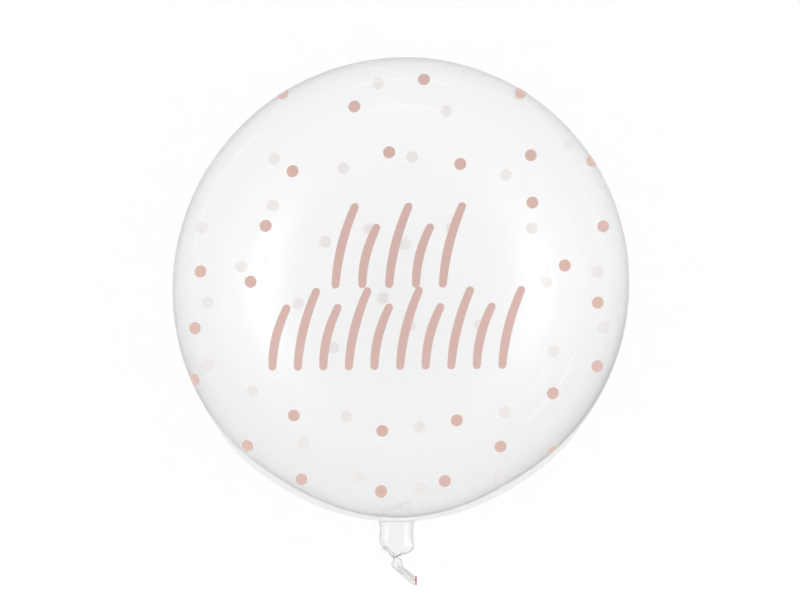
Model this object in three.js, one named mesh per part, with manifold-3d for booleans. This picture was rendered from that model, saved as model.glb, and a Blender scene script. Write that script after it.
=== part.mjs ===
// A clear bubble balloon, filled, knotted and lying on its back, as a three.js scene graph.
// Units are millimetres and +Z is up. The balloon's long axis lies along Y with the neck
// towards -Y, the printed side faces up, and the origin is the middle of the flat spot
// that the balloon rests on.

import * as THREE from 'three';
import { mergeVertices } from 'three/addons/utils/BufferGeometryUtils.js';
import Module from 'manifold-3d';

const wasm = await Module();
wasm.setup();

// Bubble: a sealed film ball, drawn out a little towards its neck.
const BUBBLE_RADIUS = 200;
const REST_SPOT_RADIUS = 24;
const DRAW_OUT = 4.6;
const DRAW_OUT_SPREAD = THREE.MathUtils.degToRad(34);
const NECK_SEAT_RADIUS = 20;
const BUBBLE_RINGS = 40;
const BUBBLE_SIDES = 72;

// Stretched film never blows up quite round: it is longer one way across the print.
const OVALNESS = 0.0094;
const OVAL_HEADING = THREE.MathUtils.degToRad(38.6);

// Neck: a film sleeve welded to the bubble, gathered, knotted and ending in a flat tail.
const WELD_GAP = 0.3;
const SLEEVE_RADIUS = 14.8;
const WELD_FLARE_RADIUS = 16;
const SLEEVE_X = -1.8;
const GATHER_PLEATS = 7;
const NECK_SIDES = 28;

const BUBBLE_CENTRE_Z = Math.sqrt(BUBBLE_RADIUS ** 2 - REST_SPOT_RADIUS ** 2);

// Stations down the neck, from the weld to the cut end of the tail. x is off the bubble's
// axis and y below its centre; width and depth are half sizes; heading is the way the film
// runs, in degrees from straight down towards +X; pleat is how deep its gathers are cut.
function neckStations(weldY) {
  return [
    { x: SLEEVE_X, y: weldY, width: WELD_FLARE_RADIUS, depth: WELD_FLARE_RADIUS, heading: 0, pleat: 0 },
    { x: SLEEVE_X, y: weldY - 2.6, width: WELD_FLARE_RADIUS, depth: WELD_FLARE_RADIUS, heading: 0, pleat: 0 },
    { x: SLEEVE_X, y: weldY - 6, width: SLEEVE_RADIUS, depth: SLEEVE_RADIUS, heading: 0, pleat: 0 },
    { x: SLEEVE_X, y: -216.2, width: SLEEVE_RADIUS, depth: SLEEVE_RADIUS, heading: 0, pleat: 0 },
    { x: SLEEVE_X, y: -221, width: 15.2, depth: 14.6, heading: 0, pleat: 0.02 },
    { x: SLEEVE_X + 1.4, y: -226.2, width: 14, depth: 13, heading: 0, pleat: 0.06 },
    { x: SLEEVE_X + 0.1, y: -229, width: 11.2, depth: 10.4, heading: 0, pleat: 0.16 },
    { x: SLEEVE_X - 0.9, y: -231.8, width: 8.6, depth: 7.4, heading: 0, pleat: 0.22 },
    { x: SLEEVE_X - 1.1, y: -234.4, width: 5.4, depth: 4.6, heading: 4, pleat: 0.22 },
    { x: SLEEVE_X + 0.4, y: -236.4, width: 3.2, depth: 2.8, heading: 10, pleat: 0.12 },
    { x: SLEEVE_X - 0.3, y: -240.4, width: 4.4, depth: 3, heading: 4, pleat: 0.12 },
    { x: SLEEVE_X + 1.6, y: -243.6, width: 3.3, depth: 2.4, heading: 40, pleat: 0.12 },
    { x: SLEEVE_X + 7.1, y: -247.9, width: 2.6, depth: 1.8, heading: 54, pleat: 0.1 },
    { x: SLEEVE_X + 14.6, y: -253.6, width: 3.2, depth: 1.5, heading: 58, pleat: 0.1 },
    { x: SLEEVE_X + 17.9, y: -255.6, width: 3.9, depth: 1.3, heading: 90, pleat: 0.1 },
  ];
}

// Distance of the film from the bubble's centre, at an angle away from the neck's pole.
function filmRadius(angle) {
  return BUBBLE_RADIUS + DRAW_OUT * Math.exp(-((angle / DRAW_OUT_SPREAD) ** 2));
}

// Profile of the bubble from the flat seat of its neck to the far pole.
function bubbleProfile() {
  const seatAngle = Math.asin(NECK_SEAT_RADIUS / filmRadius(0));
  const points = [];
  for (let ring = 0; ring <= BUBBLE_RINGS; ring += 1) {
    const angle = seatAngle + ((Math.PI - seatAngle) * ring) / BUBBLE_RINGS;
    const radius = filmRadius(angle);
    points.push(new THREE.Vector2(radius * Math.sin(angle), -radius * Math.cos(angle)));
  }
  points[BUBBLE_RINGS].x = 0;
  return [new THREE.Vector2(0, points[0].y), ...points];
}

// Moves every vertex of a geometry that is centred on the bubble: the film is longer along
// the oval's heading and shorter across it.
function drawOval(geometry) {
  const cos = Math.cos(2 * OVAL_HEADING) * OVALNESS;
  const sin = Math.sin(2 * OVAL_HEADING) * OVALNESS;
  const stretch = new THREE.Matrix4().set(
    1 - cos, sin, 0, 0,
    sin, 1 + cos, 0, 0,
    0, 0, 1, 0,
    0, 0, 0, 1,
  );
  return geometry.applyMatrix4(stretch);
}

// A closed geometry with its shared vertices merged, as a solid that can be cut.
function toSolid(geometry) {
  const bare = geometry.clone();
  bare.deleteAttribute('normal');
  bare.deleteAttribute('uv');
  const merged = mergeVertices(bare);
  return new wasm.Manifold(new wasm.Mesh({
    numProp: 3,
    vertProperties: new Float32Array(merged.attributes.position.array),
    triVerts: new Uint32Array(merged.index.array),
  }));
}

function fromSolid(solid) {
  const mesh = solid.getMesh();
  const geometry = new THREE.BufferGeometry();
  geometry.setAttribute('position', new THREE.BufferAttribute(mesh.vertProperties, 3));
  geometry.setIndex(new THREE.BufferAttribute(mesh.triVerts, 1));
  geometry.computeVertexNormals();
  return geometry;
}

// The ball, cut flat where it presses on the surface below it.
function bubbleGeometry(profile) {
  const ball = drawOval(new THREE.LatheGeometry(profile, BUBBLE_SIDES));
  const size = 3 * BUBBLE_RADIUS;
  const surface = new THREE.BoxGeometry(size, size, size);
  surface.translate(0, 0, -BUBBLE_CENTRE_Z - size / 2);
  return fromSolid(toSolid(ball).subtract(toSolid(surface)));
}

// The sleeve, knot and tail: a closed cylinder whose rings are laid on the stations.
function neckGeometry(stations) {
  const spans = stations.length - 1;
  const geometry = new THREE.CylinderGeometry(1, 1, spans, NECK_SIDES, spans);
  const place = geometry.attributes.position;
  for (let i = 0; i < place.count; i += 1) {
    const { x, y, width, depth, heading, pleat } = stations[Math.round(spans / 2 - place.getY(i))];
    const turn = THREE.MathUtils.degToRad(heading);
    const around = Math.atan2(place.getZ(i), place.getX(i));
    const gather = 1 - (pleat * (1 + Math.cos(GATHER_PLEATS * around))) / 2;
    const across = place.getX(i) * width * gather;
    const up = place.getZ(i) * depth * gather;
    place.setXYZ(i, x + across * Math.cos(turn), y + across * Math.sin(turn), up);
  }
  return drawOval(geometry);
}

function film(color, opacity) {
  return new THREE.MeshStandardMaterial({ color, opacity, transparent: true, roughness: 0.08, metalness: 0 });
}

function piece(name, geometry, material) {
  const mesh = new THREE.Mesh(geometry, material);
  mesh.name = name;
  return mesh;
}

const profile = bubbleProfile();
const weldY = profile[0].y - WELD_GAP;

const balloon = new THREE.Group();
balloon.name = 'bubble_balloon';
balloon.position.z = BUBBLE_CENTRE_Z;
balloon.add(piece('bubble', bubbleGeometry(profile), film(0xf2f3f4, 0.25)));
balloon.add(piece('neck', neckGeometry(neckStations(weldY)), film(0xeeeff0, 0.4)));

export default balloon;
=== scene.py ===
"""Dresses the clear bubble balloon: its printed film bubble, its tied neck and a pale studio."""

import math

import bmesh
import bpy
from bpy.props import FloatProperty, FloatVectorProperty, IntProperty, PointerProperty
from mathutils import Matrix, Vector, kdtree


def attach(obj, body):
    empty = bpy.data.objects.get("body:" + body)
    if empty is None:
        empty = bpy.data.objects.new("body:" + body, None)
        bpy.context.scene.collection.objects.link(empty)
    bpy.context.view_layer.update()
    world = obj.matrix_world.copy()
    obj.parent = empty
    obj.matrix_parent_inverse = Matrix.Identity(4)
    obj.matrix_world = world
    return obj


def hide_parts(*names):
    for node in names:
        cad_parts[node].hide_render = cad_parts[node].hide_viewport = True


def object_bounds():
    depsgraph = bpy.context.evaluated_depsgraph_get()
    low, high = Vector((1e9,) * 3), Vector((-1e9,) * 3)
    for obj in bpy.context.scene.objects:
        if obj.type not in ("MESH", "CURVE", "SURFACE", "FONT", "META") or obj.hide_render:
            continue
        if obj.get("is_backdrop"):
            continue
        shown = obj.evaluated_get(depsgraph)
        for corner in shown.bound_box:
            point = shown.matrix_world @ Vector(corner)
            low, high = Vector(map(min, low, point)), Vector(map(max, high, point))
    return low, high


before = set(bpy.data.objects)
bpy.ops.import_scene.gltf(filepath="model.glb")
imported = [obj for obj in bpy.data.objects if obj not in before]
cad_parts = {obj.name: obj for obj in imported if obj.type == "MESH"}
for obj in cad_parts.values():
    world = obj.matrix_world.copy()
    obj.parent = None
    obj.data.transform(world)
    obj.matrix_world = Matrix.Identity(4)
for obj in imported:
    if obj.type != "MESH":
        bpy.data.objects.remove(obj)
cad_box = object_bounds()

bl_info = {
    "name": "Clear bubble balloon",
    "version": (1, 0, 0),
    "blender": (4, 5, 0),
    "location": "View3D > Sidebar > Balloon",
    "description": "A clear film bubble with printed dots and a tied neck",
    "category": "Object",
}

NECKWARD = Vector((0, -1, 0))
MM = 0.001
MERGE_DISTANCE = 1e-6

# The way along which the points and faces of the thin sheets and the collar are put in order.
ORDER_WAY = Vector((0.8127, 0.5391, 0.2213))

# How the weld fin's width changes with the angle from the neck, and the shoulder at its end.
FIN_FLARE_ANGLE = math.radians(30)
FIN_FLARE_SPREAD = math.radians(16)
FIN_SPREAD = math.radians(50)
FIN_STEPS = 160
SHOULDER_ANGLE = math.radians(46)
SHOULDER_SPREAD = math.radians(9)
SHOULDER_END = math.radians(50.5)
SHOULDER_DROP = math.radians(0.25)

# The fin's two halves: the side of the neck each lies on, the angle from the neck where it
# ends, and the angle over which it narrows before that.
FIN_HALVES = [
    (1, math.radians(88), math.radians(14)),
    (-1, math.radians(59), math.radians(6)),
]

# The ripples in the film: the way each runs, how many go around, and where it starts.
RIPPLES = [
    (Vector((0.9, 0.3, 0.3)), 19, 0.4),
    (Vector((-0.4, 0.8, 0.5)), 25, 1.9),
    (Vector((0.2, -0.5, 0.8)), 31, 3.1),
    (Vector((0.6, 0.7, -0.4)), 14, 5.0),
]

# The neck's mesh: its sides, its rings from one station to the next, and the places down
# its stations between which it is hollow.
NECK_SIDES = 112
RINGS_EACH = 8
HOLLOW_START = 0.6
HOLLOW_END = 20.5

# How sharply the pleats are creased.
PLEAT_SHARPNESS = 1.5

# The crumpled film of the gathers: how far it stands off, in metres, the depth of pleats
# from which it is fully crumpled, and its waves: turns around, rate down the stations, start.
CRUMPLE = 0.3 * MM
FULL_CRUMPLE_PLEAT = 0.25
CRUMPLE_WAVES = [(5, 7.1, 0.0), (3, -11.3, 1.7), (8, 4.3, 0.6)]

# The flap beside the gathers: its places down the stations, its steps, and its wave's height
# in metres and rate.
FLAP_PLACES = (8.0, 14.0)
FLAP_STEPS = 40
FLAP_WAVE = 0.6 * MM
FLAP_WAVE_RATE = 5

# Folds that stand in the gathered film, their darker film also painting the shade along the
# creases: the place down the neck and the share of the half width where each starts, and those
# where it ends.
FOLDS = [
    (9.6, -0.97, 14.0, -0.85), (11.2, -0.55, 14.2, -0.25), (9.8, 0.93, 14.0, 0.75),
    (11.6, 0.35, 14.1, 0.30), (12.6, 0.00, 14.3, 0.05), (13.2, -0.60, 14.6, -0.70),
    (13.1, 0.50, 14.4, 0.40), (14.2, -0.90, 16.3, -0.96), (14.3, 0.85, 16.4, 0.95),
    (16.2, -0.92, 20.6, -0.90), (15.8, 0.30, 18.8, -0.30), (16.6, 0.90, 20.4, 0.70),
    (17.2, 0.45, 20.6, 0.10), (17.0, -0.40, 18.2, -0.60), (18.6, 0.20, 19.9, 0.50),
    (18.9, -0.50, 20.3, -0.20),
]

# The steps down each fold, its wave as a share of the half width, the wave's rate and shift,
# its depth as a share of the half depth, and the least that is left of it at the sides.
FOLD_STEPS = 24
FOLD_WAVE = 0.06
FOLD_WAVE_RATE = 9
FOLD_WAVE_SHIFT = 5
FOLD_DEPTH = 0.7
FOLD_LEAST_DEPTH = 0.1

# Stations of the gathers, the pinch and the tail, in millimetres and degrees: x, y, half
# width, half depth, heading, depth of the pleats, their twist, and the flap's width.
NECK_BELOW = [
    (-1.8, -221.0, 15.2, 14.6, 0, 0.02, 0.0, 0.0),
    (-0.4, -225.2, 14.7, 13.6, 0, 0.05, 0.0, 2.0),
    (1.0, -227.6, 13.3, 12.0, 0, 0.10, 0.1, 4.2),
    (1.1, -230.4, 10.4, 9.6, 0, 0.18, 0.2, 5.2),
    (0.2, -232.2, 8.0, 7.2, 0, 0.24, 0.3, 5.0),
    (-1.4, -233.8, 5.2, 4.8, 0, 0.30, 0.5, 3.4),
    (-2.6, -235.2, 2.6, 2.9, 0, 0.30, 0.7, 0.6),
    (-0.6, -237.2, 3.2, 2.6, 0, 0.28, 0.9, 0.0),
    (-0.9, -240.8, 4.8, 2.7, 8, 0.28, 1.4, 0.0),
    (0.6, -244.0, 3.6, 2.2, 36, 0.30, 2.0, 0.0),
    (4.4, -247.6, 3.1, 1.8, 50, 0.30, 2.6, 0.0),
    (9.6, -251.7, 3.4, 1.5, 54, 0.26, 3.2, 0.0),
    (13.4, -254.9, 3.8, 1.2, 76, 0.20, 3.6, 0.0),
    (15.2, -256.0, 3.9, 1.1, 90, 0.16, 3.8, 0.0),
    (16.2, -256.0, 3.9, 1.1, 90, 0.16, 3.8, 0.0),
]

# Slots of the bubble's mesh: the bare film, the print's three shades of rose, the weld fin.
FILM, ROSE, PINK, TAN, FIN = range(5)

# Slots of the neck's mesh after its film: the red band and the folds.
BAND, FOLD = 1, 2

# The inks of the dots, in turn.
DOT_SHADES = (PINK, TAN, PINK, ROSE, PINK, TAN, TAN)

# How close to the bubble's widest line the print comes, as a share of the radius.
RIM_LIMIT = 0.06

# Places of the printed dots on the upper half, in millimetres right of and beyond the
# bubble's middle as seen from above.
DOTS_ABOVE = [
    (20, 179), (104, 168), (-103, 168), (-40, 155), (-10, 115), (112, 113), (166, 109),
    (51, 105), (-93, 99), (113, 72), (-116, 52), (175, 52), (141, 18), (-173, 13),
    (-129, 4), (170, -14), (-178, -36), (170, -69), (131, -92), (-92, -111), (48, -115),
    (-16, -124), (-133, -138), (86, -138), (-86, -167), (38, -168), (-17, -177),
    (135, -146), (-180, -81),
]

# The lower half repeats the upper half's dots as far as the print is symmetrical, turned
# about the long axis, and has these of its own, in the same terms.
DOTS_BELOW = [
    (-67, 40), (-28, 51), (3, 38), (45, 52), (-91, -15), (-16, -10), (8, -34), (70, -34),
    (-60, -54), (135, -57), (148, 125), (176, 91),
]

# Brush marks of the print, in two rows: the first foot's x and y, the step to the next, how
# many there are, and the heights of the marks in turn, in the same terms as the dots.
MARK_ROWS = [
    (-56, 2, 23, 5, (66, 48)),
    (-110, -68, 22, 10, (50, 64)),
]

# The marks' slant, their bow in millimetres, the share by which they thin towards their ends,
# and the steps down each.
MARK_SLANT = 0.24
MARK_BOW = 3.0
MARK_TAPER = 0.12
MARK_STEPS = 10

# Patches along the film's seam, with painted shade standing in for dark reflections and a duller
# gloss: the heading of each in degrees from right to away, how far it spreads, and its strength as
# a share.
SHADE_AND_DULL_PATCHES = [(-30, 26, 1.15), (-156, 13, 0.6)]

# Where the painted shade that darkens the film towards its neck starts, beyond the middle, as a
# share of the bubble's radius.
NECKWARD_SHADE_START = 0.2

# Noise in the finishes, in clouds each metre.
GLOSS_CLOUDS = 14.0
FILM_GRAIN = 160.0
INK_CLOUDS = 60.0
INK_GRAIN = 900.0
BAND_GRAIN = 1200.0

# How the noise changes the finishes: the least value and what the noise adds to it, or the
# share by which a tone goes down and up. The ink's clouds count more than its grain.
COAT_RANGE = (0.75, 0.5)
INK_ROUGHNESS = (0.4, 0.15)
BAND_ROUGHNESS = (0.35, 0.1)
LAYER_VARIETY = 0.04
INK_VARIETY = 0.07
INK_CLOUDINESS = 0.6
BAND_VARIETY = 0.1

# The table: half its width, how far it lies below the balloon, and how far from the middle
# its brighter sides start and reach their full brightness.
FLOOR_REACH = 30.0
FLOOR_DROP = 0.5 * MM
FLOOR_SIDES_START = 0.6
FLOOR_SIDES_FULL = 2.0

# Narrow strips of light around the table, out of the camera's sight, facing the bubble: the
# middle of each, its length and width, and its brightness.
STRIPS = [
    ((0.76, -0.53, 0.02), 0.44, 0.016, 0.7),
    ((0.00, 1.38, 0.02), 0.70, 0.150, 0.22),
    ((0.00, 0.52, 0.01), 0.24, 0.026, 0.25),
    ((-0.39, 0.21, 0.01), 0.30, 0.014, 0.3),
]
STRIP_TARGET = Vector((0, 0, 0.25))

# How far up the studio its horizon's brightness reaches.
HORIZON_SPREAD = 0.3


class FilmSettings(bpy.types.PropertyGroup):
    """Sizes and colours of the bubble's film."""

    radius: FloatProperty(
        name="Bubble radius", description="Radius of the filled bubble across its middle",
        default=0.200, unit="LENGTH")
    rest_spot_radius: FloatProperty(
        name="Rest spot radius", description="Radius of the flat spot the bubble lies on",
        default=0.024, unit="LENGTH")
    draw_out: FloatProperty(
        name="Draw-out", description="How far the film is drawn out at its neck",
        default=0.0046, unit="LENGTH")
    draw_out_spread: FloatProperty(
        name="Draw-out spread", description="How far around the neck the film is drawn out",
        default=math.radians(34), subtype="ANGLE")
    neck_seat_radius: FloatProperty(
        name="Neck seat radius", description="Radius of the flat seat that the neck is welded to",
        default=0.020, unit="LENGTH")
    ovalness: FloatProperty(
        name="Ovalness", description="Share by which the film is longer one way than round",
        default=0.0094)
    oval_heading: FloatProperty(
        name="Oval heading", description="Way of the shorter diameter, from right to neckward",
        default=math.radians(38.6), subtype="ANGLE")
    wall: FloatProperty(
        name="Wall", description="Thickness of the film", default=0.0010, unit="LENGTH")
    neck_wall: FloatProperty(
        name="Wall at the neck", description="How much thicker the film is around its neck",
        default=0.0002, unit="LENGTH")
    neck_wall_spread: FloatProperty(
        name="Thick wall spread", description="How far around the neck the film is thicker",
        default=math.radians(35), subtype="ANGLE")
    ripple: FloatProperty(
        name="Ripple", description="Height of the ripples in the film",
        default=0.00012, unit="LENGTH")
    inset: FloatProperty(
        name="Inset", description="How far the ball lies inside the bubble's whole outline",
        default=0.0002, unit="LENGTH")
    fin_width: FloatProperty(
        name="Fin width", description="Width of the flat weld fin in line with the neck",
        default=0.0031, unit="LENGTH")
    fin_flare: FloatProperty(
        name="Fin flare", description="How much wider the weld fin is to each side of the neck",
        default=0.0029, unit="LENGTH")
    fin_thickness: FloatProperty(
        name="Fin thickness", description="Thickness of the flat weld fin",
        default=0.0006, unit="LENGTH")
    shoulder: FloatProperty(
        name="Fin shoulder", description="How far the fin's end stands out before it steps in",
        default=0.0011, unit="LENGTH")
    fin_tone: FloatProperty(
        name="Fin tone", description="Share of light that passes through the fin",
        default=0.87, subtype="FACTOR", min=0, max=1)
    # Painted shade: darkens the film's colour towards its neck.
    neckward_painted_shade: FloatProperty(
        name="Neckward haze", description="Share of light the film keeps back at its neck",
        default=0.034, subtype="FACTOR", min=0, max=1)
    # Painted shade in patches along the seam, standing in for dark reflections.
    seam_painted_shade: FloatProperty(
        name="Seam haze", description="Share of light it keeps back in patches on its seam",
        default=0.15, subtype="FACTOR", min=0, max=1)
    seam_patch_height: FloatProperty(
        name="Seam haze height", description="How far from the seam those patches reach",
        default=0.050, unit="LENGTH")
    seam_dullness: FloatProperty(
        name="Seam dullness", description="Share of its gloss that the film loses there",
        default=0.7, subtype="FACTOR", min=0, max=1)
    neck_dullness: FloatProperty(
        name="Neck dullness", description="Share of its gloss that the film loses at its neck",
        default=0.85, subtype="FACTOR", min=0, max=1)
    collar_radius: FloatProperty(
        name="Collar radius", description="Radius of the collar between film and neck",
        default=0.0140, unit="LENGTH")
    smoke: FloatProperty(
        name="Smoke", description="How fast light fades inside the film, each metre",
        default=18.0)
    dull_height: FloatProperty(
        name="Dull height", description="How far up from the neck the film is less glossy",
        default=0.016, unit="LENGTH")
    dull_width: FloatProperty(
        name="Dull width", description="How far to both sides of the neck it is less glossy",
        default=0.032, unit="LENGTH")


class PrintSettings(bpy.types.PropertyGroup):
    """Sizes and colours of the print."""

    dot_diameter: FloatProperty(
        name="Dot diameter", description="Diameter of a printed dot",
        default=0.0104, unit="LENGTH")
    stroke_width: FloatProperty(
        name="Stroke width", description="Width of a printed brush stroke",
        default=0.0078, unit="LENGTH")
    rose: FloatVectorProperty(
        name="Rose", description="Main ink", default=(0.675, 0.462, 0.42), subtype="COLOR")
    pink: FloatVectorProperty(
        name="Pink", description="Pinker ink", default=(0.67, 0.455, 0.405), subtype="COLOR")
    tan: FloatVectorProperty(
        name="Tan", description="Tanner ink", default=(0.675, 0.46, 0.395), subtype="COLOR")
    underside: FloatVectorProperty(
        name="Underside", description="Ink as it shows through the film from inside",
        default=(1.0, 0.955, 0.94), subtype="COLOR")
    # Painted light: the ink's back glows towards the neck, though it is no lamp.
    underside_glow: FloatProperty(
        name="Underside glow", description="Own light of the ink's back next to the neck",
        default=0.15, min=0)


class NeckSettings(bpy.types.PropertyGroup):
    """Sizes and colours of the neck."""

    weld_gap: FloatProperty(
        name="Weld gap", description="Clearance between the neck and its seat",
        default=0.0003, unit="LENGTH")
    sleeve_radius: FloatProperty(
        name="Sleeve radius", description="Radius of the neck's sleeve",
        default=0.0148, unit="LENGTH")
    weld_radius: FloatProperty(
        name="Weld radius", description="Radius of the flare at the weld",
        default=0.016, unit="LENGTH")
    sleeve_x: FloatProperty(
        name="Sleeve offset", description="How far the sleeve sits off the long axis",
        default=-0.0018, unit="LENGTH")
    wall: FloatProperty(
        name="Wall", description="Thickness of the sleeve's wall", default=0.00055,
        unit="LENGTH")
    fold: FloatProperty(
        name="Fold", description="Thickness of a fold in the gathers", default=0.0005,
        unit="LENGTH")
    # The fold's darker tone also paints the shade along the gathers' creases.
    fold_tone: FloatProperty(
        name="Fold tone", description="Share of light that passes through a fold",
        default=0.5, subtype="FACTOR", min=0, max=1)
    pleats: IntProperty(
        name="Pleats", description="Gathers around the tied neck", default=7)
    smoke: FloatProperty(
        name="Smoke", description="How fast light fades inside the neck's film, each metre",
        default=78.0)
    band_width: FloatProperty(
        name="Band width", description="Width of the red band on the tail's cut end",
        default=0.0013, unit="LENGTH")
    band: FloatVectorProperty(
        name="Band", description="Red edge of the cut tail",
        default=(0.68, 0.05, 0.08), subtype="COLOR")


class StudioSettings(bpy.types.PropertyGroup):
    """The pale studio and its camera."""

    camera_height: FloatProperty(
        name="Camera height", description="Camera above the bubble's middle",
        default=10.0, unit="LENGTH")
    view_width: FloatProperty(
        name="View width", description="Width that the camera takes in at the bubble's middle",
        default=0.6974, unit="LENGTH")
    camera_x: FloatProperty(
        name="Camera offset right", description="Camera right of the bubble's middle",
        default=-0.0007, unit="LENGTH")
    camera_y: FloatProperty(
        name="Camera offset beyond", description="Camera beyond the bubble's middle",
        default=-0.0117, unit="LENGTH")
    floor_tone: FloatProperty(
        name="Floor tone", description="Share of light that the table gives back",
        default=0.40, subtype="FACTOR", min=0, max=1)
    floor_glow: FloatProperty(
        name="Floor glow", description="How much the lit table shines by itself", default=0.62)
    floor_sides: FloatProperty(
        name="Floor sides", description="How many times brighter the table shines at its sides",
        default=1.45)
    zenith: FloatProperty(
        name="Zenith", description="Brightness of the studio straight above", default=0.90)
    horizon: FloatProperty(
        name="Horizon", description="Brightness of the studio at floor level", default=1.0)
    side_light: FloatProperty(
        name="Side light", description="Brightness that the soft side lights add", default=1.2)
    light_rise: FloatProperty(
        name="Light rise", description="Height of the side lights, from floor to straight above",
        default=0.27)
    light_height: FloatProperty(
        name="Light height", description="How tall the side lights are", default=0.22)
    light_length: FloatProperty(
        name="Light length", description="How long the side lights are", default=0.42)
    light_shift: FloatProperty(
        name="Light shift", description="How far the side lights sit towards the neck's end",
        default=0.22)


# The film's shape

def film_radius(film, down):
    """Distance of the film's outer face from the centre, at an angle from the neck's pole."""
    return film.radius + film.draw_out * math.exp(-((down / film.draw_out_spread) ** 2))


def bubble_centre(film):
    """Middle of the bubble, above the spot that it lies on."""
    return Vector((0, 0, math.sqrt(film.radius**2 - film.rest_spot_radius**2)))


def seat_angle(film):
    """Angle from the neck's pole to the rim of the flat seat."""
    return math.asin(film.neck_seat_radius / film_radius(film, 0))


def seat_y(film):
    """Place of the flat seat along the long axis, from the bubble's middle."""
    return -film_radius(film, seat_angle(film)) * math.cos(seat_angle(film))


def oval(film):
    """The stretch that makes the bubble and its neck a little longer one way than round."""
    cos = math.cos(2 * film.oval_heading) * film.ovalness
    sin = math.sin(2 * film.oval_heading) * film.ovalness
    return Matrix(((1 - cos, sin, 0), (sin, 1 + cos, 0), (0, 0, 1)))


def in_place(film, point):
    """A point given from the middle of a round bubble, moved to its place on this one."""
    return oval(film) @ point + bubble_centre(film)


def fin_width(film, down):
    """How far the ball lies inside the whole outline, at an angle from the neck's pole."""
    side = math.exp(-(((down - FIN_FLARE_ANGLE) / FIN_FLARE_SPREAD) ** 2))
    middle = math.exp(-((down / FIN_SPREAD) ** 2))
    return film.inset + film.fin_flare * side + film.fin_width * middle


def ball_radius(film, down):
    """Distance of the ball's outer face from the middle, inside the weld fin."""
    return film_radius(film, down) - fin_width(film, down)


def fin_edge(film, down, end, narrowing):
    """Distance of the fin's outer edge from the middle, at an angle from the neck's pole."""
    bulge = math.exp(-(((down - SHOULDER_ANGLE) / SHOULDER_SPREAD) ** 2))
    before_end = 1 / (1 + math.exp((down - SHOULDER_END) / SHOULDER_DROP))
    taper = math.sqrt(min((end - down) / narrowing, 1.0))
    full = film_radius(film, down) + film.shoulder * bulge * before_end
    ball = ball_radius(film, down)
    return ball + (full - ball) * taper


def wall_at(film, down):
    """Thickness of the film, at an angle from the neck's pole."""
    return film.wall + film.neck_wall * math.exp(-((down / film.neck_wall_spread) ** 2))


def ripple(film, direction):
    """How far the film's ripples lift it, in a direction from the middle."""
    waves = [math.sin(count * direction.dot(way) + start) for way, count, start in RIPPLES]
    return film.ripple * sum(waves) / len(waves)


def film_point(film, direction, walls_deep=0):
    """A point of the ball's outer face, or one wall deep, in a direction from the middle."""
    down = direction.angle(NECKWARD)
    depth = wall_at(film, down) * walls_deep
    radius = ball_radius(film, down) + ripple(film, direction) - depth
    point = in_place(film, direction * radius)
    point.z = max(point.z, depth)
    return point


def face_all(bm, outward):
    """Turns every face outward, or inward to the air that it encloses."""
    bmesh.ops.recalc_face_normals(bm, faces=bm.faces)
    if not outward:
        bmesh.ops.reverse_faces(bm, faces=bm.faces)


def put_in_order(bm):
    """Puts the points and faces in an order that is the same each run."""
    bm.verts.sort(key=lambda vert: vert.co.dot(ORDER_WAY))
    bm.faces.sort(key=lambda face: face.calc_center_median().dot(ORDER_WAY))


def thicken(bm, thickness):
    """Gives a sheet its thickness."""
    bmesh.ops.solidify(bm, geom=list(bm.faces), thickness=thickness)
    put_in_order(bm)
    face_all(bm, outward=True)


def add_inner_face(bm_all, film):
    """Adds the ball's inner face."""
    bm = bmesh.new()
    bmesh.ops.create_icosphere(bm, subdivisions=PrintedBall.FINENESS, radius=1.0)
    for vert in bm.verts:
        vert.co = film_point(film, vert.co.normalized(), walls_deep=1)
    face_all(bm, outward=False)
    append_mesh(bm_all, bm)


def add_fin(bm_all, film, neck):
    """Adds the flat weld fin, a half on each side of the neck, in line with the long axis."""
    for side, end, narrowing in FIN_HALVES:
        bm = bmesh.new()
        bmesh.ops.create_grid(bm, x_segments=FIN_STEPS, y_segments=1, size=1.0)
        start = math.asin((film.collar_radius + side * neck.sleeve_x) / film.radius)
        for vert in bm.verts:
            down = start + (end - start) * (vert.co.x + 1) / 2
            if vert.co.y < 0:
                radius = ball_radius(film, down) - film.wall / 2
            else:
                radius = fin_edge(film, down, end, narrowing)
            point = Vector((side * radius * math.sin(down), -radius * math.cos(down), 0))
            vert.co = in_place(film, point)
        bm.normal_update()
        thicken(bm, film.fin_thickness)
        for face in bm.faces:
            face.material_index = FIN
        append_mesh(bm_all, bm)


def add_collar(bm_all, film, neck):
    """Adds the short collar that joins the ball to the neck's weld."""
    bm = bmesh.new()
    top = -ball_radius(film, 0) + film.wall / 2
    bottom = seat_y(film)
    radii = (film.collar_radius, film.collar_radius + neck.wall)
    corners = [(radii[0], top), (radii[1], top), (radii[1], bottom), (radii[0], bottom)]
    verts = [bm.verts.new((radius, y, 0)) for radius, y in corners]
    edges = [bm.edges.new((verts[i], verts[(i + 1) % 4])) for i in range(4)]
    bmesh.ops.spin(
        bm, geom=verts + edges, cent=(0, 0, 0), axis=(0, 1, 0), angle=math.tau,
        steps=NECK_SIDES, use_merge=True)
    bmesh.ops.remove_doubles(bm, verts=bm.verts, dist=MERGE_DISTANCE)
    for vert in bm.verts:
        vert.co = in_place(film, vert.co + Vector((neck.sleeve_x, 0, 0)))
    put_in_order(bm)
    face_all(bm, outward=True)
    append_mesh(bm_all, bm)


def append_mesh(bm_all, bm):
    """Adds a finished mesh to another and frees it."""
    mesh = bpy.data.meshes.new("part")
    bm.to_mesh(mesh)
    bm.free()
    bm_all.from_mesh(mesh)
    bpy.data.meshes.remove(mesh)


# The print

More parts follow.
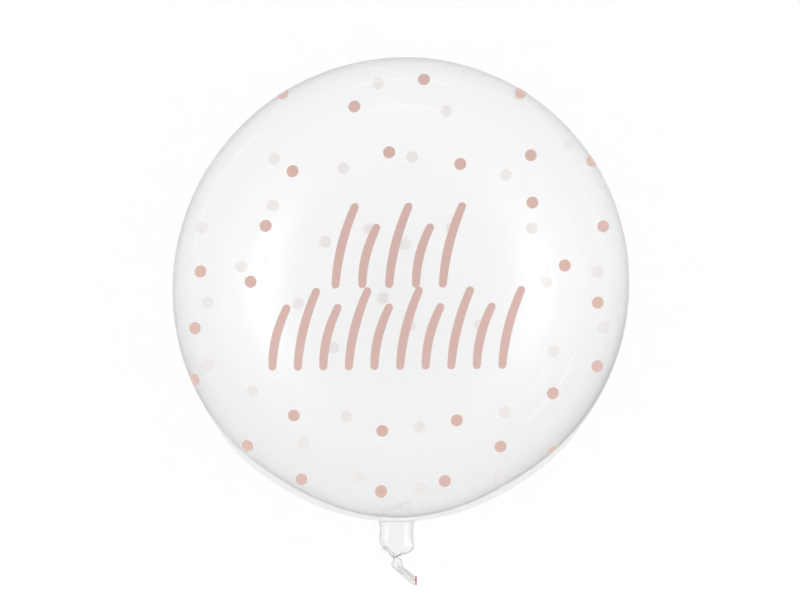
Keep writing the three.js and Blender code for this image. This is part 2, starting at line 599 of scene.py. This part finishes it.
class PrintedBall:
    """A ball of unit radius whose faces are cut along the outlines of the print.

    An outline is a function that gives a place's distance from it, negative inside.
    """

    FINENESS = 6
    TILT = Matrix.Rotation(0.37, 3, (0.3, 0.5, 0.8))
    REFINE_MARGINS = (0.030, 0.015)
    CUT_MARGIN = 0.010
    SNAP = 0.0012

    def __init__(self):
        self.bm = bmesh.new()
        bmesh.ops.create_icosphere(self.bm, subdivisions=self.FINENESS, radius=1.0)
        bmesh.ops.rotate(self.bm, verts=self.bm.verts, cent=(0, 0, 0), matrix=self.TILT)
        self.tree = kdtree.KDTree(len(self.bm.verts))
        for index, vert in enumerate(self.bm.verts):
            self.tree.insert(vert.co, index)
        self.tree.balance()

    def faces_near(self, start, distance, margin):
        """Faces around a start, out to a margin beyond the outline where distance is nought."""
        self.bm.verts.ensure_lookup_table()
        first = self.bm.verts[self.tree.find(start)[1]]
        found = dict.fromkeys(first.link_faces)
        edge = list(found)
        while edge:
            around = (near for vert in edge.pop().verts for near in vert.link_faces)
            for near in around:
                if near not in found and distance_of(near, distance) < margin:
                    found[near] = None
                    edge.append(near)
        return list(found)

    def refine(self, start, distance, margin):
        """Splits the faces inside an outline and a margin around it into four."""
        faces = self.faces_near(start, distance, margin)
        edges = list(dict.fromkeys(edge for face in faces for edge in face.edges))
        bmesh.ops.subdivide_edges(self.bm, edges=edges, cuts=1, use_grid_fill=True)
        for face in self.faces_near(start, distance, 2 * margin):
            for vert in face.verts:
                vert.co.normalize()

    def cut(self, start, distance):
        """Cuts the faces along the outline where distance is nought."""
        faces = self.faces_near(start, distance, self.CUT_MARGIN)
        away = {}
        line = []
        for vert in dict.fromkeys(vert for face in faces for vert in face.verts):
            away[vert] = distance(vert.co)
            if abs(away[vert]) < self.SNAP:
                vert.co = onto_outline(vert.co, distance)
                away[vert] = 0.0
                line.append(vert)
        for edge in dict.fromkeys(edge for face in faces for edge in face.edges):
            here, there = edge.verts
            if away[here] * away[there] < 0:
                share = away[here] / (away[here] - away[there])
                new = bmesh.utils.edge_split(edge, here, share)[1]
                new.co = onto_outline(new.co.normalized(), distance)
                line.append(new)
        bmesh.ops.connect_verts(self.bm, verts=line)

    def ink(self, start, distance, slot):
        """Prints the inside of the outline where distance is nought with a slot's ink."""
        for margin in self.REFINE_MARGINS:
            self.refine(start, distance, margin)
        self.cut(start, distance)
        for face in self.faces_near(start, distance, 0.0):
            if distance_of(face, distance) < 0:
                face.material_index = slot


def distance_of(face, distance):
    """Distance of a face's middle from an outline on the unit ball."""
    return distance(face.calc_center_median().normalized())


def onto_outline(place, distance, rounds=2, step=1e-4, least_steepness=1e-3):
    """Moves a place on the unit ball onto the nearby outline where distance is nought."""
    across = place.orthogonal().normalized()
    along = place.cross(across)
    for _ in range(rounds):
        away = distance(place)
        slope_across = (distance((place + across * step).normalized()) - away) / step
        slope_along = (distance((place + along * step).normalized()) - away) / step
        steepness = max(slope_across**2 + slope_along**2, least_steepness)
        place = place - (across * slope_across + along * slope_along) * (away / steepness)
        place = place.normalized()
    return place


def direction_to(film, x, y, side, rounds=8):
    """Direction from the bubble's middle to the place of its film seen x and y off it."""
    target = Vector((x, y)) * MM
    flat = target / film.radius
    for _ in range(rounds):
        height = math.sqrt(max(1 - flat.length_squared, RIM_LIMIT**2))
        direction = Vector((flat.x, flat.y, side * height)).normalized()
        flat += (target - film_point(film, direction).xy) / film.radius
    return direction


def dot_outline(film, axis, radius):
    """Distance from a dot's outline, drawn out on the flank so that it looks round from above."""
    side = math.copysign(1, axis.z)
    scale = film_point(film, axis).xy.length / axis.xy.length

    def distance(place):
        seen = math.hypot(place.x - axis.x, place.y - axis.y) - radius / scale
        return max(seen, RIM_LIMIT - place.z * side)
    return distance


def mark_line(foot_x, foot_y, height):
    """Points down the middle of a bowed brush mark, in millimetres, and its half width there."""
    points = []
    for step in range(MARK_STEPS + 1):
        share = step / MARK_STEPS
        bow = MARK_BOW * 4 * share * (1 - share)
        x = foot_x + height * share * MARK_SLANT - bow
        points.append((x, foot_y + height * share, 1 - MARK_TAPER * (2 * share - 1) ** 2))
    return points


def mark_outline(film, line, half_width):
    """Distance from a brush mark's outline, on the unit ball."""
    scale = ball_radius(film, math.pi / 2) / MM
    spans = []
    for (x, y, thick), (next_x, next_y, next_thick) in zip(line, line[1:]):
        along_x, along_y = next_x - x, next_y - y
        spans.append((x, y, along_x, along_y, along_x**2 + along_y**2, thick, next_thick - thick))

    def distance(place):
        best = math.inf
        seen_x, seen_y = place.x * scale, place.y * scale
        for x, y, along_x, along_y, length2, thick, more in spans:
            share = ((seen_x - x) * along_x + (seen_y - y) * along_y) / length2
            share = min(max(share, 0.0), 1.0)
            gap = math.hypot(seen_x - x - along_x * share, seen_y - y - along_y * share)
            best = min(best, gap - half_width / MM * (thick + more * share))
        return best / scale
    return distance


def printed_ball(film, print_):
    """The bubble's outer face with its print, as a mesh."""
    ball = PrintedBall()
    radius = print_.dot_diameter / 2
    turned = [(-x, y) for x, y in DOTS_ABOVE]
    for side, dots in ((1, DOTS_ABOVE), (-1, turned + DOTS_BELOW)):
        for index, (x, y) in enumerate(dots):
            axis = direction_to(film, x, y, side)
            ball.ink(axis, dot_outline(film, axis, radius), DOT_SHADES[index % len(DOT_SHADES)])
    for foot_x, foot_y, step, count, heights in MARK_ROWS:
        for index in range(count):
            line = mark_line(foot_x + step * index, foot_y, heights[index % len(heights)])
            middle = line[len(line) // 2]
            start = direction_to(film, middle[0], middle[1], 1)
            ball.ink(start, mark_outline(film, line, print_.stroke_width / 2), ROSE)
    for vert in ball.bm.verts:
        vert.co = film_point(film, vert.co.normalized())
    bmesh.ops.triangulate(ball.bm, faces=[face for face in ball.bm.faces if len(face.verts) > 3])
    face_all(ball.bm, outward=True)
    return ball.bm


# The neck

def neck_stations(film, neck):
    """Stations down the neck, from the weld to the cut end of the tail.

    Each is x and y off the bubble's middle, half width and half depth, the film's heading in
    degrees from straight down towards the right, the depth of its pleats, their twist, and
    the width of the flap on its left.
    """
    weld = seat_y(film) - neck.weld_gap
    sleeve = neck.sleeve_radius
    flare = neck.weld_radius
    x = neck.sleeve_x
    top = [
        (x, weld, flare - 0.4 * MM, flare - 0.4 * MM, 0, 0, 0, 0),
        (x, weld - 0.5 * MM, flare, flare, 0, 0, 0, 0),
        (x, weld - 1.1 * MM, flare - 0.6 * MM, flare - 0.6 * MM, 0, 0, 0, 0),
        (x, weld - 1.7 * MM, flare, flare, 0, 0, 0, 0),
        (x, weld - 2.6 * MM, flare - 0.4 * MM, flare - 0.4 * MM, 0, 0, 0, 0),
        (x, weld - 5 * MM, sleeve, sleeve, 0, 0, 0, 0),
        (x, -212 * MM, sleeve - 0.2 * MM, sleeve, 0, 0, 0, 0),
        (x, -217 * MM, sleeve, sleeve, 0, 0, 0, 0),
    ]
    return top + [
        [value * scale for value, scale in zip(station, (MM, MM, MM, MM, 1, 1, 1, MM))]
        for station in NECK_BELOW]


def between(stations, place):
    """The station at a fractional place down the list, on smooth curves through them all."""
    index = min(int(place), len(stations) - 2)
    share = place - index
    before = stations[max(index - 1, 0)]
    here, there = stations[index], stations[index + 1]
    after = stations[min(index + 2, len(stations) - 1)]
    values = []
    for a, b, c, d in zip(before, here, there, after):
        start_slope, end_slope = (c - a) / 2, (d - b) / 2
        cubic = 2 * b - 2 * c + start_slope + end_slope
        square = 3 * c - 3 * b - 2 * start_slope - end_slope
        values.append(((cubic * share + square) * share + start_slope) * share + b)
    return values


def crumple(place, around, pleat):
    """How far the gathered film stands off its even course, in metres."""
    waves = sum(
        math.sin(turns * around + rate * place + start) for turns, rate, start in CRUMPLE_WAVES)
    return CRUMPLE * waves / 2 * min(pleat / FULL_CRUMPLE_PLEAT, 1.0)


def neck_point(stations, place, around, inset, pleats):
    """A point of the neck's face at a place down the list and an angle around it."""
    x, y, width, depth, heading, pleat, twist, _ = between(stations, place)
    turn = math.radians(heading)
    fold = (0.5 + 0.5 * math.cos(pleats * around + twist)) ** PLEAT_SHARPNESS
    gather = 1 - pleat * fold
    off = crumple(place, around, pleat) - inset
    across = math.cos(around) * (width * gather + off)
    up = math.sin(around) * (depth * gather + off)
    return Vector((x + across * math.cos(turn), y + across * math.sin(turn), up))


def neck_tube(film, neck, first, last, rings, inset):
    """A closed tube laid on the neck's stations between two places down the list."""
    bm = bmesh.new()
    stations = neck_stations(film, neck)
    bmesh.ops.create_grid(bm, x_segments=NECK_SIDES, y_segments=rings, size=1.0)
    seam = []
    for vert in bm.verts:
        around = (vert.co.x + 1) * math.pi
        place = first + (last - first) * (vert.co.y + 1) / 2
        if math.isclose(abs(vert.co.x), 1.0, abs_tol=1e-4):
            around = 0.0
            seam.append(vert)
        vert.co = in_place(film, neck_point(stations, place, around, inset, neck.pleats))
    bmesh.ops.remove_doubles(bm, verts=seam, dist=MERGE_DISTANCE)
    bmesh.ops.holes_fill(bm, edges=[edge for edge in bm.edges if edge.is_boundary], sides=0)
    face_all(bm, outward=not inset)
    return bm


def neck_flap(film, neck):
    """The flap on the left of the gathers, a flat sheet of film."""
    bm = bmesh.new()
    stations = neck_stations(film, neck)
    first, last = FLAP_PLACES
    bmesh.ops.create_grid(bm, x_segments=1, y_segments=FLAP_STEPS, size=1.0)
    for vert in bm.verts:
        place = first + (last - first) * (vert.co.y + 1) / 2
        flap = max(between(stations, place)[-1], 0.0)
        point = neck_point(stations, place, math.pi, neck.wall / 2, neck.pleats)
        point.x -= flap if vert.co.x < 0 else 0.0
        point.z += FLAP_WAVE * math.sin(FLAP_WAVE_RATE * place)
        vert.co = in_place(film, point)
    thicken(bm, neck.wall)
    return bm


def neck_fold(film, neck, start, start_share, end, end_share):
    """A fold of film that stands in the gathered neck, seen edge on from above."""
    bm = bmesh.new()
    stations = neck_stations(film, neck)
    bmesh.ops.create_grid(bm, x_segments=1, y_segments=FOLD_STEPS, size=1.0)
    for vert in bm.verts:
        along = (vert.co.y + 1) / 2
        x, y, width, depth, heading = between(stations, start + (end - start) * along)[:5]
        turn = math.radians(heading)
        share = start_share + (end_share - start_share) * along
        wave = math.sin(FOLD_WAVE_RATE * along + FOLD_WAVE_SHIFT * start)
        across = (share + FOLD_WAVE * wave) * width
        up = vert.co.x * depth * FOLD_DEPTH * math.sqrt(max(1 - share**2, FOLD_LEAST_DEPTH))
        point = Vector((x + across * math.cos(turn), y + across * math.sin(turn), up))
        vert.co = in_place(film, point)
    bm.normal_update()
    thicken(bm, neck.fold)
    for face in bm.faces:
        face.material_index = FOLD
    return bm


def ink_tail_end(bm, neck):
    """Prints the band along the tail's cut end."""
    end = max(vert.co.x for vert in bm.verts)
    for face in bm.faces:
        if face.calc_center_median().x > end - neck.band_width:
            face.material_index = BAND


# Materials

class Wire:
    """An output socket of a node tree that takes part in ordinary arithmetic."""

    def __init__(self, tree, socket=None):
        self.tree = tree
        self.socket = socket

    def node(self, kind, settings=None, inputs=None, output=0):
        """Adds a node with its settings and inputs, and gives one of its outputs."""
        node = self.tree.nodes.new(kind)
        for name, value in (settings or {}).items():
            setattr(node, name, value)
        for name, value in (inputs or {}).items():
            if isinstance(value, Wire):
                self.tree.links.new(value.socket, node.inputs[name])
            else:
                node.inputs[name].default_value = value
        return Wire(self.tree, node.outputs[output] if len(node.outputs) else None)

    def math(self, operation, *values):
        """Adds a Math node on values."""
        return self.node("ShaderNodeMath", {"operation": operation}, dict(enumerate(values)))

    def __add__(self, other):
        return self.math("ADD", self, other)

    __radd__ = __add__

    def __sub__(self, other):
        return self.math("SUBTRACT", self, other)

    def __rsub__(self, other):
        return self.math("SUBTRACT", other, self)

    def __mul__(self, other):
        return self.math("MULTIPLY", self, other)

    __rmul__ = __mul__

    def __truediv__(self, other):
        return self.math("DIVIDE", self, other)


def new_material(name):
    """A material with an empty node tree, and a wire to add nodes with."""
    material = bpy.data.materials.new(name)
    material.use_nodes = True
    material.node_tree.nodes.clear()
    return material, Wire(material.node_tree)


def split(wire, vector):
    """The three parts of a vector."""
    return [
        wire.node("ShaderNodeSeparateXYZ", {}, {"Vector": vector}, output=axis)
        for axis in "XYZ"]


def mix_colours(wire, factor, one, other):
    """A colour between two others."""
    return wire.node(
        "ShaderNodeMix", {"data_type": "RGBA"},
        {"Factor": factor, "A": one, "B": other}, output="Result")


def noise(wire, scale, detail=2.0):
    """Cloudy noise fixed to the piece."""
    place = wire.node("ShaderNodeTexCoord", output="Object")
    return wire.node("ShaderNodeTexNoise", {}, {"Vector": place, "Scale": scale, "Detail": detail})


def varied(wire, factor, colour, less, more):
    """A colour that goes from darker to lighter with a factor, by shares of itself."""
    darker = [value * (1 - less) for value in colour] + [1]
    lighter = [min(value * (1 + more), 1) for value in colour] + [1]
    return mix_colours(wire, factor, darker, lighter)


def clear_surface(wire, colour, coat):
    """Film that light passes straight through, with a glossy coat on it."""
    return wire.node("ShaderNodeBsdfPrincipled", {}, {
        "Base Color": colour, "Roughness": 0.0, "IOR": 1.0, "Transmission Weight": 1.0,
        "Coat Weight": coat, "Coat Roughness": 0.0, "Coat IOR": 1.5})


def seam_patches(wire, film, place):
    """Strength of the patches along the film's seam, as a share: they carry painted shade and a
    duller gloss.
    """
    x, y, z = split(wire, place)
    heading = wire.math("ARCTAN2", y, x)
    patches = 0.0
    for middle, spread, strength in SHADE_AND_DULL_PATCHES:
        off = (heading - math.radians(middle)) / math.radians(spread)
        patches = patches + strength * wire.math("EXPONENT", 0.0 - off * off)
    height = (z - bubble_centre(film).z) / film.seam_patch_height
    return patches * wire.math("EXPONENT", 0.0 - height * height)


def painted_shade(wire, film, place):
    """Share of painted shade that darkens the film's colour: more towards its neck, and in its
    seam patches as painted dark reflections.
    """
    neckward = wire.node("ShaderNodeMapRange", {}, {
        "Value": split(wire, place)[1],
        "From Min": NECKWARD_SHADE_START * film.radius, "From Max": -film.radius,
        "To Min": 0.0, "To Max": film.neckward_painted_shade}, output="Result")
    return neckward + film.seam_painted_shade * seam_patches(wire, film, place)


def film_gloss(wire, film, place):
    """Share of the film's full gloss: less around its neck and in its seam patches."""
    x, y, _ = split(wire, place)
    up = (y + film.radius) / film.dull_height
    across = x / film.dull_width
    near_neck = wire.math("EXPONENT", 0.0 - up * up - across * across)
    around_neck = 1.0 - film.neck_dullness * near_neck
    return around_neck * (1.0 - film.seam_dullness * seam_patches(wire, film, place))


def film_material(name, smoke, bubble=None):
    """Clear glossy film, smoky where it is seen edge on, its gloss a little uneven.

    With the bubble's settings it also has the bubble's painted shade, towards its neck and in
    patches along its seam, and its duller patches.
    """
    material, wire = new_material(name)
    least, more = COAT_RANGE
    coat = least + more * noise(wire, GLOSS_CLOUDS, detail=3.0)
    shaded_colour = (1, 1, 1, 1)
    if bubble:
        place = wire.node("ShaderNodeTexCoord", output="Object")
        coat = coat * film_gloss(wire, bubble, place)
        # Painted shade darkens the film's colour towards the neck and, as painted dark
        # reflections, in patches along the seam.
        shaded_colour = mix_colours(wire, painted_shade(wire, bubble, place), shaded_colour, (0, 0, 0, 1))
    volume = wire.node("ShaderNodeVolumeAbsorption", {}, {"Color": (0, 0, 0, 1), "Density": smoke})
    wire.node("ShaderNodeOutputMaterial", {}, {
        "Surface": clear_surface(wire, shaded_colour, coat), "Volume": volume})
    return material


def layered_material(name, tone):
    """Layers of film pressed together: see-through but greyer than clear, faintly grained. In the
    neck's folds the grey also paints the shade along the creases.
    """
    material, wire = new_material(name)
    grain = noise(wire, FILM_GRAIN, detail=3.0)
    colour = varied(wire, grain, [tone] * 3, LAYER_VARIETY, LAYER_VARIETY)
    wire.node("ShaderNodeOutputMaterial", {}, {"Surface": clear_surface(wire, colour, 1.0)})
    return material


def ink_material(name, colour, print_, film):
    """Printed ink: faintly grained from outside, and pale where its back shows.

    Its back has painted light: it shines a little towards the neck, to make up for the painted
    shade in the film above it.
    """
    material, wire = new_material(name)
    grain = noise(wire, INK_GRAIN)
    shade = INK_CLOUDINESS * noise(wire, INK_CLOUDS) + (1 - INK_CLOUDINESS) * grain
    outside = varied(wire, shade, colour, INK_VARIETY, INK_VARIETY)
    behind = wire.node("ShaderNodeNewGeometry", output="Backfacing")
    underside = list(print_.underside) + [1]
    ink = mix_colours(wire, behind, outside, underside)
    place = wire.node("ShaderNodeTexCoord", output="Object")
    neckward = wire.node("ShaderNodeMapRange", {}, {
        "Value": split(wire, place)[1], "From Min": 0.0, "From Max": -film.radius},
        output="Result")
    # Painted light: the ink's back glows more towards the neck.
    glow = mix_colours(wire, behind * neckward, (0, 0, 0, 1), underside)
    least, more = INK_ROUGHNESS
    surface = wire.node("ShaderNodeBsdfPrincipled", {}, {
        "Base Color": ink, "Roughness": least + more * grain, "IOR": 1.45,
        "Specular IOR Level": 0.25, "Emission Color": glow,
        "Emission Strength": print_.underside_glow})
    wire.node("ShaderNodeOutputMaterial", {}, {"Surface": surface})
    return material


def band_material(colour):
    """The red edge of the cut tail, finely grained."""
    material, wire = new_material("tail_band")
    grain = noise(wire, BAND_GRAIN)
    least, more = BAND_ROUGHNESS
    surface = wire.node("ShaderNodeBsdfPrincipled", {}, {
        "Base Color": varied(wire, grain, colour, BAND_VARIETY, 0.0),
        "Roughness": least + more * grain})
    wire.node("ShaderNodeOutputMaterial", {}, {"Surface": surface})
    return material


# Pieces

def make_piece(name, bm, materials, node):
    """Turns a mesh into a piece of the balloon that stands for a node of the frame."""
    mesh = bpy.data.meshes.new(name)
    bm.to_mesh(mesh)
    bm.free()
    for material in materials:
        mesh.materials.append(material)
    for polygon in mesh.polygons:
        polygon.use_smooth = True
    piece = bpy.data.objects.new(name, mesh)
    bpy.context.scene.collection.objects.link(piece)
    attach(piece, "root")
    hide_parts(node)


class BALLOON_OT_bubble(bpy.types.Operator):
    """Make the bubble: a printed ball of film with a weld fin around its neck"""

    bl_idname = "balloon.bubble"
    bl_label = "Bubble"

    def execute(self, context):
        film = context.scene.balloon_film
        print_ = context.scene.balloon_print
        neck = context.scene.balloon_neck
        bm = printed_ball(film, print_)
        add_inner_face(bm, film)
        add_fin(bm, film, neck)
        add_collar(bm, film, neck)
        materials = [
            film_material("bubble_film", film.smoke, bubble=film),
            ink_material("rose_ink", print_.rose, print_, film),
            ink_material("pink_ink", print_.pink, print_, film),
            ink_material("tan_ink", print_.tan, print_, film),
            layered_material("fin_film", film.fin_tone),
        ]
        make_piece("bubble_film", bm, materials, "bubble")
        return {"FINISHED"}


class BALLOON_OT_neck(bpy.types.Operator):
    """Make the neck: a sleeve with gathers, a knot and a flat tail"""

    bl_idname = "balloon.neck"
    bl_label = "Neck"

    def execute(self, context):
        film = context.scene.balloon_film
        neck = context.scene.balloon_neck
        last = len(neck_stations(film, neck)) - 1
        bm = neck_tube(film, neck, 0, last, last * RINGS_EACH, 0.0)
        ink_tail_end(bm, neck)
        rings = int((HOLLOW_END - HOLLOW_START) * RINGS_EACH)
        append_mesh(bm, neck_tube(film, neck, HOLLOW_START, HOLLOW_END, rings, neck.wall))
        append_mesh(bm, neck_flap(film, neck))
        for fold in FOLDS:
            append_mesh(bm, neck_fold(film, neck, *fold))
        materials = [
            film_material("neck_film", neck.smoke),
            band_material(neck.band),
            layered_material("fold_film", neck.fold_tone),
        ]
        make_piece("neck_film", bm, materials, "neck")
        return {"FINISHED"}


def soft_lights(wire, y, z, studio):
    """The soft lights at both sides of the studio, as a share of their brightness."""
    along = (y + studio.light_shift) / studio.light_length
    up = (z - studio.light_rise) / studio.light_height
    return wire.math("EXPONENT", 0.0 - along * along - up * up)


class BALLOON_OT_studio(bpy.types.Operator):
    """Make the pale studio: floor, soft light and camera"""

    bl_idname = "balloon.studio"
    bl_label = "Studio"

    def execute(self, context):
        scene = context.scene
        film = scene.balloon_film
        studio = scene.balloon_studio
        self.make_floor(scene, studio)
        self.make_light(scene, studio)
        self.make_strips(scene)
        self.make_camera(scene, film, studio)
        scene.view_settings.view_transform = "Standard"
        return {"FINISHED"}

    def make_floor(self, scene, studio):
        """Makes a wide table that shines a little by itself, more towards its two sides."""
        bm = bmesh.new()
        bmesh.ops.create_grid(bm, x_segments=1, y_segments=1, size=FLOOR_REACH)
        mesh = bpy.data.meshes.new("floor")
        bm.to_mesh(mesh)
        bm.free()
        material, wire = new_material("floor")
        tone = studio.floor_tone
        middle = 1 / studio.floor_sides
        x, y, _ = split(wire, wire.node("ShaderNodeTexCoord", output="Object"))
        sideways = x * x / (x * x + y * y)
        far = wire.node("ShaderNodeMapRange", {"interpolation_type": "SMOOTHSTEP"}, {
            "Value": wire.math("ABSOLUTE", x),
            "From Min": FLOOR_SIDES_START, "From Max": FLOOR_SIDES_FULL}, output="Result")
        glow = mix_colours(
            wire, far * sideways * sideways, (middle, middle, middle, 1), (1, 1, 1, 1))
        surface = wire.node("ShaderNodeBsdfPrincipled", {}, {
            "Base Color": (tone, tone, tone, 1), "Roughness": 1.0, "Specular IOR Level": 0.0,
            "Emission Color": glow,
            "Emission Strength": studio.floor_glow * studio.floor_sides})
        wire.node("ShaderNodeOutputMaterial", {}, {"Surface": surface})
        mesh.materials.append(material)
        floor = bpy.data.objects.new("floor", mesh)
        floor.location.z = -FLOOR_DROP
        scene.collection.objects.link(floor)
        floor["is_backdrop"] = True

    def make_light(self, scene, studio):
        """Makes the pale studio around the table, with a soft light at each side."""
        world = bpy.data.worlds.new("studio")
        world.use_nodes = True
        world.node_tree.nodes.clear()
        wire = Wire(world.node_tree)
        _, y, z = split(wire, wire.node("ShaderNodeTexCoord", output="Generated"))
        rise = wire.math("MAXIMUM", z, 0.0) / HORIZON_SPREAD
        low = wire.math("EXPONENT", 0.0 - rise * rise)
        glow = studio.zenith + (studio.horizon - studio.zenith) * low
        glow = glow + studio.side_light * soft_lights(wire, y, z, studio)
        background = wire.node(
            "ShaderNodeBackground", {}, {"Color": (1, 1, 1, 1), "Strength": glow})
        wire.node("ShaderNodeOutputWorld", {}, {"Surface": background})
        scene.world = world

    def make_strips(self, scene):
        """Makes the narrow lights that draw thin arcs in the film."""
        for number, (middle, length, width, brightness) in enumerate(STRIPS, 1):
            light = bpy.data.lights.new(f"strip_{number}", "AREA")
            light.shape = "RECTANGLE"
            light.size = length
            light.size_y = width
            light.energy = brightness * math.pi * width * length
            holder = bpy.data.objects.new(light.name, light)
            aim = STRIP_TARGET - Vector(middle)
            holder.location = middle
            holder.rotation_euler = aim.to_track_quat("-Z", "Y").to_euler()
            scene.collection.objects.link(holder)

    def make_camera(self, scene, film, studio):
        """Makes the camera, straight above and looking down."""
        camera = bpy.data.cameras.new("camera")
        camera.lens = camera.sensor_width * studio.camera_height / studio.view_width
        camera.clip_end = 10 * studio.camera_height
        holder = bpy.data.objects.new("camera", camera)
        offset = Vector((studio.camera_x, studio.camera_y, studio.camera_height))
        holder.location = bubble_centre(film) + offset
        scene.collection.objects.link(holder)
        scene.camera = holder


class BALLOON_PT_panel(bpy.types.Panel):
    """Lists the balloon's sizes and the steps that make it"""

    bl_idname = "BALLOON_PT_panel"
    bl_label = "Bubble balloon"
    bl_space_type = "VIEW_3D"
    bl_region_type = "UI"
    bl_category = "Balloon"

    def draw(self, context):
        for name, operator in (
            ("balloon_film", "balloon.bubble"), ("balloon_print", None),
            ("balloon_neck", "balloon.neck"), ("balloon_studio", "balloon.studio"),
        ):
            group = getattr(context.scene, name)
            box = self.layout.box()
            for key in group.__annotations__:
                box.prop(group, key)
            if operator:
                box.operator(operator)


GROUPS = {
    "balloon_film": FilmSettings,
    "balloon_print": PrintSettings,
    "balloon_neck": NeckSettings,
    "balloon_studio": StudioSettings,
}
OTHER_CLASSES = (BALLOON_OT_bubble, BALLOON_OT_neck, BALLOON_OT_studio, BALLOON_PT_panel)


def register():
    """Adds the settings, the operators and the panel."""
    for name, group in GROUPS.items():
        bpy.utils.register_class(group)
        setattr(bpy.types.Scene, name, PointerProperty(type=group))
    for cls in OTHER_CLASSES:
        bpy.utils.register_class(cls)


def unregister():
    """Takes them away again."""
    for cls in reversed(OTHER_CLASSES):
        bpy.utils.unregister_class(cls)
    for name, group in reversed(GROUPS.items()):
        delattr(bpy.types.Scene, name)
        bpy.utils.unregister_class(group)


def main():
    """Makes the dressed balloon and its studio."""
    register()
    bpy.ops.balloon.bubble()
    bpy.ops.balloon.neck()
    bpy.ops.balloon.studio()
    visual_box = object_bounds()
    boxes = {"cad": cad_box, "visual": visual_box}
    {name: [list(corner) for corner in box] for name, box in boxes.items()}


if __name__ == "__main__":
    main()
